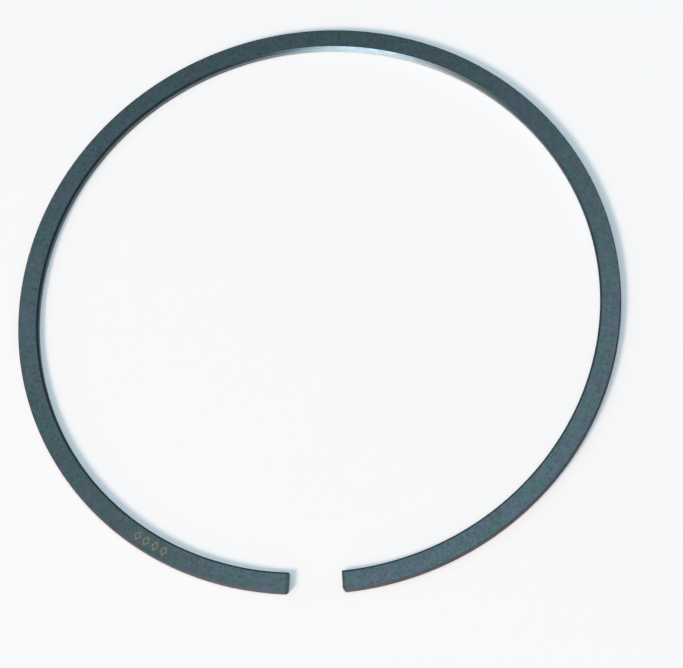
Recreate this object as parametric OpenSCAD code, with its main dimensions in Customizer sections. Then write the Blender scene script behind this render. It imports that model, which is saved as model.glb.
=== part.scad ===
/* [Ring] */
// Bore of the cylinder that the ring seals
bore_d = 80; // [60:0.5:110]
// Radial thickness, from the inner face to the running face
radial_t = 2.8; // [2:0.05:4]
// Axial height, between the two flat sides
axial_h = 1.2; // [1:0.05:3]

/* [Gap] */
// Gap between the ends of the free ring, along the middle of the section
free_gap = 7.2; // [4:0.1:12]
// Gap that is left between the ends inside the cylinder
closed_gap = 0.35; // [0.2:0.05:1]
// Chamfer on the outer corner of each end
end_chamfer = 0.3; // [0.1:0.05:0.6]

/* [Edges] */
// Drop of the barrel-shaped running face, from its crown to the flat sides
barrel_drop = 0.015; // [0.005:0.005:0.04]
// Chamfer along both edges of the running face
outer_chamfer = 0.1; // [0.05:0.01:0.2]
// Bevel along the upper edge of the inner face, which tells the upper side from the lower
inside_bevel = 0.3; // [0.1:0.05:0.5]
// Chamfer along the lower edge of the inner face
inner_chamfer = 0.1; // [0.05:0.01:0.2]

/* [Hidden] */

// Facets in a full circle
$fn = 180;
// Dark phosphate coat
coat_grey = [0.31, 0.39, 0.42];
// Step that arc sizes are rounded to, so that neighbouring arcs meet on one exact face
arc_step = 0.01;

// Radius of the middle of the section when the ring is closed in its cylinder
closed_r = (bore_d - radial_t) / 2;
// Share of that radius by which a ring that presses evenly on its cylinder springs open
spring_share = (free_gap - closed_gap) / (3 * PI * closed_r);
// The free ring is flatter at its back than at its front. One back arc and two front arcs
// with these shares give the gap and the turn of the ends that an even pressure needs.
back_r = stepped(closed_r * (1 + (1 + PI / 4) * spring_share));
front_r = stepped(closed_r * (1 + (1 - PI / 4) * spring_share));
// Sideways shift of a front arc's centre, which makes it tangent to the back arc
front_shift = back_r - front_r;
// Turn of a front arc, from the widest point of the ring to its end
front_turn = acos((free_gap / 2 - front_shift) / front_r);

// Reach of the ring behind and in front of the line through the arcs' centres
back_reach = back_r + radial_t / 2;
front_reach = (front_r + radial_t / 2) * sin(front_turn);
// Place of that line, with the free ring's box centred on the origin
centre_y = stepped((front_reach - back_reach) / 2);

// Radius of the barrel-shaped running face, across its height
barrel_r = (pow(axial_h / 2, 2) + pow(barrel_drop, 2)) / (2 * barrel_drop);
// Stock that stands out past the crown, for the barrel to trim
barrel_stock = axial_h / 4;

function stepped(size) = round(size / arc_step) * arc_step;

// Section of the ring: X is radial, with 0 at the middle, and Y is the ring's axis
module section() {
  inner_x = -radial_t / 2;
  crown_x = radial_t / 2;
  intersection() {
    translate([crown_x - barrel_r, axial_h / 2])
      circle(r = barrel_r);
    polygon([
      [inner_x, inner_chamfer],
      [inner_x + inner_chamfer, 0],
      [crown_x - outer_chamfer, 0],
      [crown_x + barrel_stock, outer_chamfer + barrel_stock],
      [crown_x + barrel_stock, axial_h - outer_chamfer - barrel_stock],
      [crown_x - outer_chamfer, axial_h],
      [inner_x + inside_bevel, axial_h],
      [inner_x, axial_h - inside_bevel],
    ]);
  }
}

// Stretch of the ring round the Z axis, from one angle over the given turn
module arc(middle_r, start, turn) {
  rotate_extrude(start = start, angle = turn)
    translate([middle_r, 0])
      section();
}

// Right-hand front arc with its end, where a chamfer takes off the outer corner
module front_arc() {
  slope = 45;
  cut_l = 4 * end_chamfer;
  cut_h = 2 * axial_h;
  translate([front_shift, 0, 0])
    difference() {
      arc(front_r, -front_turn, front_turn);
      rotate([0, 0, -front_turn])
        translate([front_r + radial_t / 2 - end_chamfer, 0, axial_h / 2])
          rotate([0, 0, slope])
            translate([0, -cut_l / 2, 0])
              cube([cut_l, cut_l, cut_h], center = true);
    }
}

module piston_ring() {
  color(coat_grey)
    translate([0, centre_y, 0]) {
      arc(back_r, 0, 180);
      front_arc();
      mirror([1, 0, 0])
        front_arc();
    }
}

piston_ring();
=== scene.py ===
"""Looks of the piston ring: a finely swept and coated body, its mark, a pale table and soft light."""
import math

import bmesh
import bpy
from mathutils import Matrix, Vector


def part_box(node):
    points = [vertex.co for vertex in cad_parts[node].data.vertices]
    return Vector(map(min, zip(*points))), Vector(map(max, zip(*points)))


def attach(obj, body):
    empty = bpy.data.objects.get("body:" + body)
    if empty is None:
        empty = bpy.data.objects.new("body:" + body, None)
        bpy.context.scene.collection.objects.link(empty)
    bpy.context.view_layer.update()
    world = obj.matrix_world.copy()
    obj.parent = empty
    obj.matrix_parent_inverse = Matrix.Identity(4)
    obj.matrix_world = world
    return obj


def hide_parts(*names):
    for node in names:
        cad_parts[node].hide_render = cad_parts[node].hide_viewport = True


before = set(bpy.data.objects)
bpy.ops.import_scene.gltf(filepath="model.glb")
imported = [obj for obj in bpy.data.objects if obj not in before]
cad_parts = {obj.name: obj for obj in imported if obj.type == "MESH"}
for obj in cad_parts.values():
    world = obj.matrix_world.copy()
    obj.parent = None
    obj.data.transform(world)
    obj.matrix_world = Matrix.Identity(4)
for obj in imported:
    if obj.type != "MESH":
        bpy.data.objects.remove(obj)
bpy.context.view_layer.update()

MM = 0.001

# Sizes of the ring, as its source has them
BORE_D = 80 * MM
RADIAL_T = 2.8 * MM
AXIAL_H = 1.2 * MM
FREE_GAP = 7.2 * MM
CLOSED_GAP = 0.35 * MM
END_CHAMFER = 0.3 * MM
BARREL_DROP = 0.015 * MM
OUTER_CHAMFER = 0.1 * MM
INSIDE_BEVEL = 0.3 * MM
INNER_CHAMFER = 0.1 * MM

# Free shape: one back arc and two front arcs, which join on the line through their centres. Their
# radii are those of a ring that presses evenly on its cylinder.
CLOSED_R = (BORE_D - RADIAL_T) / 2
SPRING_SHARE = (FREE_GAP - CLOSED_GAP) / (3 * math.pi * CLOSED_R)
BACK_R = CLOSED_R * (1 + (1 + math.pi / 4) * SPRING_SHARE)
FRONT_R = CLOSED_R * (1 + (1 - math.pi / 4) * SPRING_SHARE)
FRONT_SHIFT = BACK_R - FRONT_R
FRONT_TURN = math.acos((FREE_GAP / 2 - FRONT_SHIFT) / FRONT_R)
FRONT_L = FRONT_R * FRONT_TURN
BACK_L = math.pi * BACK_R
RING_L = 2 * FRONT_L + BACK_L
HALF_T = RADIAL_T / 2
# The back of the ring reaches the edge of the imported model's box
CENTRE_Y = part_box("piston_ring")[1].y - BACK_R - HALF_T

# Fineness of the swept body
EDGE_R = 0.03 * MM
EDGE_HOLD = 0.012 * MM
EDGE_STEPS = 4
BARREL_STEPS = 6
SWEEP_STEP = 0.5 * MM
WELD = EDGE_R / 1000
SHARP_ANGLE = math.radians(30)

# Mark that shows which side goes up: a row of open diamonds on the upper side
MARK_COUNT = 4
MARK_PITCH = 1.4 * MM
MARK_L = 1.0 * MM
MARK_W = 1.4 * MM
MARK_STROKE = 0.24 * MM
MARK_H = 0.006 * MM
MARK_FROM_END = 19.7 * MM

# Turns of the places where shade is painted into the coat: the back, and the left side towards the front
BACK_SHADE_TURN = math.radians(90)
LEFT_SHADE_TURN = math.radians(221)

# Share of its strength that each finer layer of a noise keeps
NOISE_KEEP = 0.55
# Sockets of a Mix node that mixes colours
MIX_FACTOR = 0
MIX_FIRST = 6
MIX_SECOND = 7
MIX_RESULT = 2

# Camera: the point that it looks at, its place round that point and its lens
LOOK_AT = Vector((3.5 * MM, -4.8 * MM, AXIAL_H))
CAMERA_TURN = math.radians(-70.0)
CAMERA_RISE = math.radians(68.4)
CAMERA_AWAY = 450 * MM
CAMERA_LENS = 175.5
CAMERA_CLIP = CAMERA_AWAY / 100

FLOOR_SIZE = 6.0
FLOOR_COLOUR = (0.93, 0.94, 0.957)

# Light: a dome that is darker near the table and at the right, and soft lamps far from the ring
HORIZON_COLOUR = (0.105, 0.140, 0.158)
ZENITH_COLOUR = (0.380, 0.567, 0.645)
DOME_AXIS = Vector((-0.25, 0.0, 1.0)).normalized()
LAMP_AWAY = 4.0


def station(along):
    """Point of the middle line and its outward direction, at a distance from the right-hand end."""
    if along < FRONT_L:
        turn = along / FRONT_R - FRONT_TURN
        centre_x = FRONT_SHIFT
        radius = FRONT_R
    elif along < FRONT_L + BACK_L:
        turn = (along - FRONT_L) / BACK_R
        centre_x = 0.0
        radius = BACK_R
    else:
        turn = math.pi + (along - FRONT_L - BACK_L) / FRONT_R
        centre_x = -FRONT_SHIFT
        radius = FRONT_R
    outward = Vector((math.cos(turn), math.sin(turn), 0.0))
    return Vector((centre_x, CENTRE_Y, 0.0)) + radius * outward, outward


def stations():
    """Distances along the ring at which the section is drawn: close together at the ends."""
    turns = [math.pi / 2 * k / EDGE_STEPS for k in range(EDGE_STEPS + 1)]
    start = [EDGE_R * (1 - math.cos(turn)) for turn in turns]
    start += [END_CHAMFER / 2, END_CHAMFER, END_CHAMFER + EDGE_R]
    count = round((RING_L - 2 * start[-1]) / SWEEP_STEP)
    step = (RING_L - 2 * start[-1]) / count
    middle = [start[-1] + step * k for k in range(1, count)]
    return start + middle + [RING_L - along for along in reversed(start)]


def rounded(before, corner, after):
    """Points of a small round on a corner, with a point beyond each end that keeps the flats flat."""
    back = (before - corner).normalized()
    ahead = (after - corner).normalized()
    reach = EDGE_R / math.tan(back.angle(ahead) / 2)
    start = corner + back * reach
    end = corner + ahead * reach
    points = [start + back * EDGE_HOLD]
    for k in range(EDGE_STEPS + 1):
        t = k / EDGE_STEPS
        points.append((1 - t) ** 2 * start + 2 * t * (1 - t) * corner + t ** 2 * end)
    points.append(end + ahead * EDGE_HOLD)
    return points


def barrel(height):
    """Offset of the barrel-shaped running face at a height."""
    return HALF_T - BARREL_DROP * (2 * height / AXIAL_H - 1) ** 2


def section():
    """Outline of the section: points (offset, height), each with the zone of the face after it."""
    low = OUTER_CHAMFER - (HALF_T - barrel(OUTER_CHAMFER))
    high = AXIAL_H - low
    corners = [
        ((-HALF_T + INNER_CHAMFER, 0.0), "side"),
        ((HALF_T - OUTER_CHAMFER, 0.0), "edge"),
        ((barrel(low), low), "running"),
        ((barrel(high), high), "edge"),
        ((HALF_T - OUTER_CHAMFER, AXIAL_H), "side"),
        ((-HALF_T + INSIDE_BEVEL, AXIAL_H), "bevel"),
        ((-HALF_T, AXIAL_H - INSIDE_BEVEL), "wall"),
        ((-HALF_T, INNER_CHAMFER), "wall"),
    ]
    outline = []
    for k, (place, zone) in enumerate(corners):
        before = Vector(corners[k - 1][0])
        after = Vector(corners[(k + 1) % len(corners)][0])
        points = rounded(before, Vector(place), after)
        zone_before = corners[k - 1][1]
        middle = len(points) // 2
        outline += [(point, zone_before) for point in points[:middle]]
        outline += [(point, zone) for point in points[middle:]]
        if place == (barrel(low), low):
            heights = [low + (high - low) * j / BARREL_STEPS for j in range(1, BARREL_STEPS)]
            outline += [(Vector((barrel(height), height)), zone) for height in heights]
    return outline


def placed(point, along):
    """Place in the frame of a section's point, at a distance along the ring. The ends are rounded off."""
    from_end = min(along, RING_L - along)
    round_off = 0.0
    if from_end < EDGE_R:
        round_off = EDGE_R - math.sqrt(EDGE_R ** 2 - (EDGE_R - from_end) ** 2)
    middle = AXIAL_H / 2
    offset = point.x * (1 - round_off / HALF_T)
    height = middle + (point.y - middle) * (1 - round_off / middle)
    offset = min(offset, HALF_T - round_off - max(0.0, END_CHAMFER - from_end))
    centre, outward = station(along)
    return centre + outward * offset + Vector((0.0, 0.0, height))


def direction(turn, rise):
    """Unit vector towards a place at a turn round +Z from +X and a rise above the table."""
    return Vector((math.cos(rise) * math.cos(turn), math.cos(rise) * math.sin(turn), math.sin(rise)))


def rgba(colour):
    """Colour with an alpha of 1."""
    return (*colour, 1.0)


def new_object(name, data):
    """Puts a new object in the scene."""
    piece = bpy.data.objects.new(name, data)
    bpy.context.scene.collection.objects.link(piece)
    return piece


def build_ring(materials):
    """Sweeps the section along the ring, with one material for each zone, and closes both ends."""
    outline = section()
    zones = list(materials)
    lengths = [0.0]
    for (point, _), (after, _) in zip(outline, outline[1:] + outline[:1]):
        lengths.append(lengths[-1] + (after - point).length)
    bm = bmesh.new()
    lines = bm.loops.layers.uv.new("ring_lines")
    rows = stations()
    loops = [[bm.verts.new(placed(point, along)) for point, _ in outline] for along in rows]
    for i in range(len(rows) - 1):
        for k, (_, zone) in enumerate(outline):
            after = (k + 1) % len(outline)
            face = bm.faces.new((loops[i][k], loops[i + 1][k], loops[i + 1][after], loops[i][after]))
            at_end = min(rows[i], RING_L - rows[i + 1]) < EDGE_R / 2
            face.material_index = zones.index("end" if at_end else zone)
            places = ((i, k), (i + 1, k), (i + 1, k + 1), (i, k + 1))
            for loop, (row, column) in zip(face.loops, places):
                loop[lines].uv = (rows[row], lengths[column])
    for end in (loops[0], loops[-1][::-1]):
        face = bm.faces.new(end)
        face.material_index = zones.index("end")
    bmesh.ops.remove_doubles(bm, verts=bm.verts, dist=WELD)
    bmesh.ops.recalc_face_normals(bm, faces=bm.faces)
    mesh = bpy.data.meshes.new("ring_body")
    bm.to_mesh(mesh)
    bm.free()
    mesh.shade_smooth()
    mesh.set_sharp_from_angle(angle=SHARP_ANGLE)
    for material in materials.values():
        mesh.materials.append(material)
    return new_object("ring_body", mesh)


def build_mark(material):
    """Row of thin open diamonds on the upper side, along the middle of the left-hand front arc."""
    bm = bmesh.new()
    # Share of a diamond's size at which its stroke has the right width
    inner = 1 - MARK_STROKE * math.hypot(MARK_L, MARK_W) / (MARK_L * MARK_W)
    # The strokes reach as far below the upper side as above it
    top = Vector((0.0, 0.0, AXIAL_H + MARK_H))
    bottom = Vector((0.0, 0.0, AXIAL_H - MARK_H))
    rims = ((1.0, top), (inner, top), (inner, bottom), (1.0, bottom))
    for k in range(MARK_COUNT):
        along = RING_L - MARK_FROM_END + MARK_PITCH * (k - (MARK_COUNT - 1) / 2)
        centre, outward = station(along)
        centre += outward * (INSIDE_BEVEL - OUTER_CHAMFER) / 2
        tip = outward * MARK_W / 2
        side = outward.cross(Vector((0.0, 0.0, 1.0))) * MARK_L / 2
        arms = (tip, side, -tip, -side)
        loops = [[bm.verts.new(centre + arm * share + level) for arm in arms] for share, level in rims]
        for i in range(len(loops)):
            for j in range(len(arms)):
                bm.faces.new((loops[i - 1][j - 1], loops[i - 1][j], loops[i][j], loops[i][j - 1]))
    bmesh.ops.recalc_face_normals(bm, faces=bm.faces)
    mesh = bpy.data.meshes.new("top_mark")
    bm.to_mesh(mesh)
    bm.free()
    mesh.materials.append(material)
    return new_object("top_mark", mesh)


class Shader:
    """A material with a Principled shader, and short calls to add nodes to it."""

    def __init__(self, name, **settings):
        self.material = bpy.data.materials.new(name)
        self.material.use_nodes = True
        self.tree = self.material.node_tree
        self.surface = self.tree.nodes["Principled BSDF"]
        self.set_surface(**settings)

    def add(self, kind, inputs=None, **settings):
        """Adds a node. An input's value is a number, a colour or the output of another node."""
        node = self.tree.nodes.new("ShaderNode" + kind)
        for name, value in settings.items():
            setattr(node, name, value)
        for name, value in (inputs or {}).items():
            self.set(node.inputs[name], value)
        return node

    def set(self, socket, value):
        """Sets a socket to a number, a vector or a colour, or links an output to it."""
        if isinstance(value, bpy.types.NodeSocket):
            self.tree.links.new(value, socket)
        elif socket.type == "RGBA":
            socket.default_value = rgba(value)
        else:
            socket.default_value = value

    def noise(self, size, low=0.3, high=0.7, detail=4.0, stretch=None):
        """Noise with features of a size: in the part's frame, or stretched along the ring.

        The part of it from low to high is spread over 0 to 1.
        """
        if stretch is None:
            where = self.add("TexCoord").outputs["Object"]
        else:
            lines = self.add("UVMap", uv_map="ring_lines").outputs["UV"]
            shrink = (1 / stretch, 1.0, 1.0)
            where = self.add("VectorMath", {0: lines, 1: shrink}, operation="MULTIPLY").outputs[0]
        inputs = {"Vector": where, "Scale": 1 / size, "Detail": detail, "Roughness": NOISE_KEEP}
        return self.between(self.add("TexNoise", inputs).outputs["Fac"], low, high)

    def between(self, factor, low, high):
        """Takes the part of a factor from low to high, and spreads it over 0 to 1."""
        return self.add("MapRange", {"Value": factor, "From Min": low, "From Max": high}).outputs["Result"]

    def spread(self, factor, low, high):
        """Spreads a factor of 0 to 1 over low to high."""
        return self.add("MapRange", {"Value": factor, "To Min": low, "To Max": high}).outputs["Result"]

    def mix(self, factor, first, second, blend="MIX"):
        """Goes from the first colour to the second, or to a blend of both, as far as a factor says."""
        inputs = {MIX_FACTOR: factor, MIX_FIRST: first, MIX_SECOND: second}
        return self.add("Mix", inputs, data_type="RGBA", blend_type=blend).outputs[MIX_RESULT]

    def towards(self, turn, start):
        """Nearness to the ring's side at a turn: 1 at that side, and 0 below a share of the way to it."""
        where = self.add("TexCoord").outputs["Object"]
        ahead = direction(turn, 0.0)
        place = self.add("VectorMath", {0: where, 1: ahead}, operation="DOT_PRODUCT").outputs["Value"]
        return self.between(place, start * BORE_D / 2, BORE_D / 2)

    def from_end(self):
        """Distance along the ring to its nearer end."""
        lines = self.add("UVMap", uv_map="ring_lines").outputs["UV"]
        along = self.add("SeparateXYZ", {0: lines}).outputs["X"]
        return self.add("Math", {0: along, 1: RING_L / 2}, operation="PINGPONG").outputs[0]

    def bump(self, height, distance, below=None):
        """Normal of a surface with bumps as high as a distance, on top of those of another normal."""
        inputs = {"Height": height, "Distance": distance}
        if below is not None:
            inputs["Normal"] = below
        return self.add("Bump", inputs).outputs["Normal"]

    def set_surface(self, **settings):
        """Sets or links the surface's sockets, named in plain words, and gives the material."""
        for name, value in settings.items():
            socket = name.replace("_", " ").title().replace("Ior", "IOR")
            self.set(self.surface.inputs[socket], value)
        return self.material


def phosphate_coat():
    """Matte grey-green coat of the flat sides: mottled and finely crystalline, with painted shade at the
    back, at the left side towards the front and near the ends.
    """
    shader = Shader("phosphate_coat", metallic=0.5, specular_ior_level=0.0,
                    specular_tint=(0.3, 0.3, 0.3))
    patches = shader.noise(1.8 * MM, 0.40, 0.60, detail=5.0)
    clouds = shader.noise(0.7 * MM, 0.38, 0.62)
    grain = shader.noise(0.22 * MM, detail=3.0)
    lapping = shader.noise(0.06 * MM, detail=2.0, stretch=60.0)
    pits = shader.noise(0.5 * MM, 0.72, 0.78, detail=1.0)
    base = shader.mix(patches, (0.041, 0.115, 0.098), (0.091, 0.100, 0.151))
    clouded = shader.mix(shader.spread(clouds, 0.0, 0.85), base, (0.041, 0.059, 0.076))
    grained = shader.mix(shader.spread(grain, 0.0, 0.85), clouded, (0.097, 0.149, 0.165))
    lined = shader.mix(shader.spread(lapping, 0.0, 0.12), grained, (0.147, 0.163, 0.177))
    pitted = shader.mix(shader.spread(pits, 0.0, 0.6), lined, (0.03, 0.045, 0.052))
    # Painted shade: the coat is darker towards the back of the ring
    back = shader.towards(BACK_SHADE_TURN, 0.0)
    # Painted shade: the coat is darker at the left side towards the front
    left = shader.towards(LEFT_SHADE_TURN, 0.8)
    painted_back_shade = shader.mix(back, pitted, (0.72, 0.72, 0.72), blend="MULTIPLY")
    painted_shade = shader.mix(left, painted_back_shade, (0.87, 0.86, 0.83), blend="MULTIPLY")
    # Painted shade: the coat darkens within 0.5 mm of each end
    wear_and_end_shade = shader.mix(shader.between(shader.from_end(), 0.0, 0.5 * MM), (0.045, 0.050, 0.054), painted_shade)
    crystals = shader.bump(grain, 0.004 * MM)
    normal = shader.bump(lapping, 0.001 * MM, below=crystals)
    return shader.set_surface(base_color=wear_and_end_shade, roughness=shader.spread(clouds, 0.36, 0.42), normal=normal)


def worn_edge():
    """Dull coat on the chamfers of the running face."""
    shader = Shader("worn_edge", metallic=0.6, specular_ior_level=0.0)
    grain = shader.noise(0.2 * MM, detail=3.0)
    base = shader.mix(grain, (0.046, 0.052, 0.058), (0.070, 0.077, 0.083))
    return shader.set_surface(base_color=base, roughness=shader.spread(grain, 0.6, 0.7))


def turned_bevel():
    """Smooth face of the inside bevel, with fine turning lines."""
    shader = Shader("turned_bevel", metallic=1.0, anisotropic=0.5, anisotropic_rotation=0.25,
                    specular_tint=(0.25, 0.35, 0.4))
    turning = shader.noise(0.05 * MM, detail=2.0, stretch=120.0)
    cloudy = shader.noise(1.2 * MM)
    lined = shader.mix(turning, (0.055, 0.074, 0.084), (0.077, 0.100, 0.113))
    base = shader.mix(shader.spread(cloudy, 0.0, 0.4), lined, (0.048, 0.065, 0.074))
    normal = shader.bump(turning, 0.001 * MM)
    return shader.set_surface(base_color=base, roughness=shader.spread(cloudy, 0.32, 0.40), normal=normal)


def turned_wall():
    """Blue-grey inner face, turned and then coated, with lines round the ring."""
    shader = Shader("turned_wall", metallic=1.0, anisotropic=0.9, anisotropic_rotation=0.25,
                    specular_tint=(0.2, 0.2, 0.2))
    turning = shader.noise(0.06 * MM, detail=3.0, stretch=120.0)
    cloudy = shader.noise(1.0 * MM)
    lined = shader.mix(turning, (0.172, 0.214, 0.236), (0.257, 0.310, 0.341))
    base = shader.mix(shader.spread(cloudy, 0.0, 0.4), lined, (0.139, 0.178, 0.199))
    normal = shader.bump(turning, 0.002 * MM)
    return shader.set_surface(base_color=base, roughness=shader.spread(turning, 0.45, 0.55), normal=normal)


def lapped_running_face():
    """Neutral grey running face, lapped round the ring."""
    shader = Shader("lapped_running_face", metallic=0.8, specular_ior_level=0.0,
                    specular_tint=(0.3, 0.3, 0.3))
    lapping = shader.noise(0.03 * MM, detail=3.0, stretch=200.0)
    cloudy = shader.noise(2.0 * MM)
    lined = shader.mix(lapping, (0.140, 0.147, 0.162), (0.240, 0.248, 0.268))
    base = shader.mix(shader.spread(cloudy, 0.0, 0.35), lined, (0.120, 0.130, 0.148))
    normal = shader.bump(lapping, 0.001 * MM)
    return shader.set_surface(base_color=base, roughness=shader.spread(lapping, 0.30, 0.42), normal=normal)


def ground_end():
    """Ends of the ring, ground square, with a fine uneven grain."""
    shader = Shader("ground_end", metallic=0.6)
    grain = shader.noise(0.08 * MM, 0.35, 0.65, detail=3.0)
    base = shader.mix(grain, (0.055, 0.070, 0.080), (0.10, 0.12, 0.13))
    normal = shader.bump(grain, 0.002 * MM)
    return shader.set_surface(base_color=base, roughness=shader.spread(grain, 0.40, 0.55), normal=normal)


def tan_mark():
    """Tan tint of the mark, thin and uneven over the coat."""
    shader = Shader("tan_mark")
    wear_and_end_shade = shader.noise(0.25 * MM)
    base = shader.mix(wear_and_end_shade, (0.205, 0.152, 0.092), (0.275, 0.206, 0.128))
    return shader.set_surface(base_color=base, roughness=shader.spread(wear_and_end_shade, 0.55, 0.7))


def build_floor():
    """Pale table under the ring."""
    shader = Shader("pale_table", base_color=FLOOR_COLOUR, specular_ior_level=0.0, roughness=1.0)
    bm = bmesh.new()
    bmesh.ops.create_grid(bm, size=FLOOR_SIZE / 2)
    mesh = bpy.data.meshes.new("floor")
    bm.to_mesh(mesh)
    bm.free()
    mesh.materials.append(shader.material)
    new_object("floor", mesh)


def softbox(name, turn, rise, width, height, light, colour):
    """Lamp of an angular width and height, as the ring sees it, that gives the ring the light named."""
    lamp = bpy.data.lights.new(name, "AREA")
    lamp.shape = "RECTANGLE"
    lamp.size = 2 * LAMP_AWAY * math.tan(math.radians(width) / 2)
    lamp.size_y = 2 * LAMP_AWAY * math.tan(math.radians(height) / 2)
    lamp.energy = math.pi * light * LAMP_AWAY ** 2
    lamp.color = colour
    towards = direction(math.radians(turn), math.radians(rise))
    piece = new_object(name, lamp)
    piece.location = towards * LAMP_AWAY
    piece.rotation_mode = "QUATERNION"
    piece.rotation_quaternion = towards.to_track_quat("Z", "Y")
    return piece


def build_dome():
    """Sky that goes from a dim horizon to a brighter zenith, which leans to the left."""
    world = bpy.data.worlds.new("studio")
    world.use_nodes = True
    nodes = world.node_tree.nodes
    links = world.node_tree.links
    height = nodes.new("ShaderNodeVectorMath")
    height.operation = "DOT_PRODUCT"
    links.new(nodes.new("ShaderNodeTexCoord").outputs["Generated"], height.inputs[0])
    height.inputs[1].default_value = DOME_AXIS
    sky = nodes.new("ShaderNodeMix")
    sky.data_type = "RGBA"
    links.new(height.outputs["Value"], sky.inputs[MIX_FACTOR])
    sky.inputs[MIX_FIRST].default_value = rgba(HORIZON_COLOUR)
    sky.inputs[MIX_SECOND].default_value = rgba(ZENITH_COLOUR)
    links.new(sky.outputs[MIX_RESULT], nodes["Background"].inputs["Color"])
    bpy.context.scene.world = world


def build_lamps():
    """Warm key that casts the shadow, a ceiling lamp, and two low strips for reflections alone."""
    softbox("key", turn=-135, rise=41, width=16, height=16, light=2.2, colour=(1.0, 0.69, 0.53))
    softbox("ceiling", turn=30, rise=86.5, width=14, height=14, light=0.9, colour=(0.97, 1.0, 1.03))
    cool = (0.95, 1.0, 1.04)
    strips = (
        softbox("front_strip", turn=-110, rise=14, width=26, height=22, light=4.9, colour=cool),
        softbox("left_strip", turn=-157, rise=9, width=60, height=14, light=0.4, colour=cool),
    )
    for strip in strips:
        strip.visible_diffuse = False


def build_camera():
    """Camera at the photograph's viewing angle, with the back of the ring upright in the picture."""
    data = bpy.data.cameras.new("camera")
    data.lens = CAMERA_LENS
    data.clip_start = CAMERA_CLIP
    camera = new_object("camera", data)
    away = direction(CAMERA_TURN, CAMERA_RISE)
    right = Vector((0.0, 1.0, 0.0)).cross(away).normalized()
    up = away.cross(right)
    turned = Matrix((right, up, away)).transposed()
    camera.matrix_world = Matrix.Translation(LOOK_AT + away * CAMERA_AWAY) @ turned.to_4x4()
    bpy.context.scene.camera = camera


materials = {
    "side": phosphate_coat(),
    "running": lapped_running_face(),
    "edge": worn_edge(),
    "bevel": turned_bevel(),
    "wall": turned_wall(),
    "end": ground_end(),
}
ring = build_ring(materials)
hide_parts("piston_ring")
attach(ring, "root")
mark = build_mark(tan_mark())
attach(mark, "root")
build_floor()
build_dome()
build_lamps()
build_camera()
bpy.context.scene.view_settings.view_transform = "Standard"
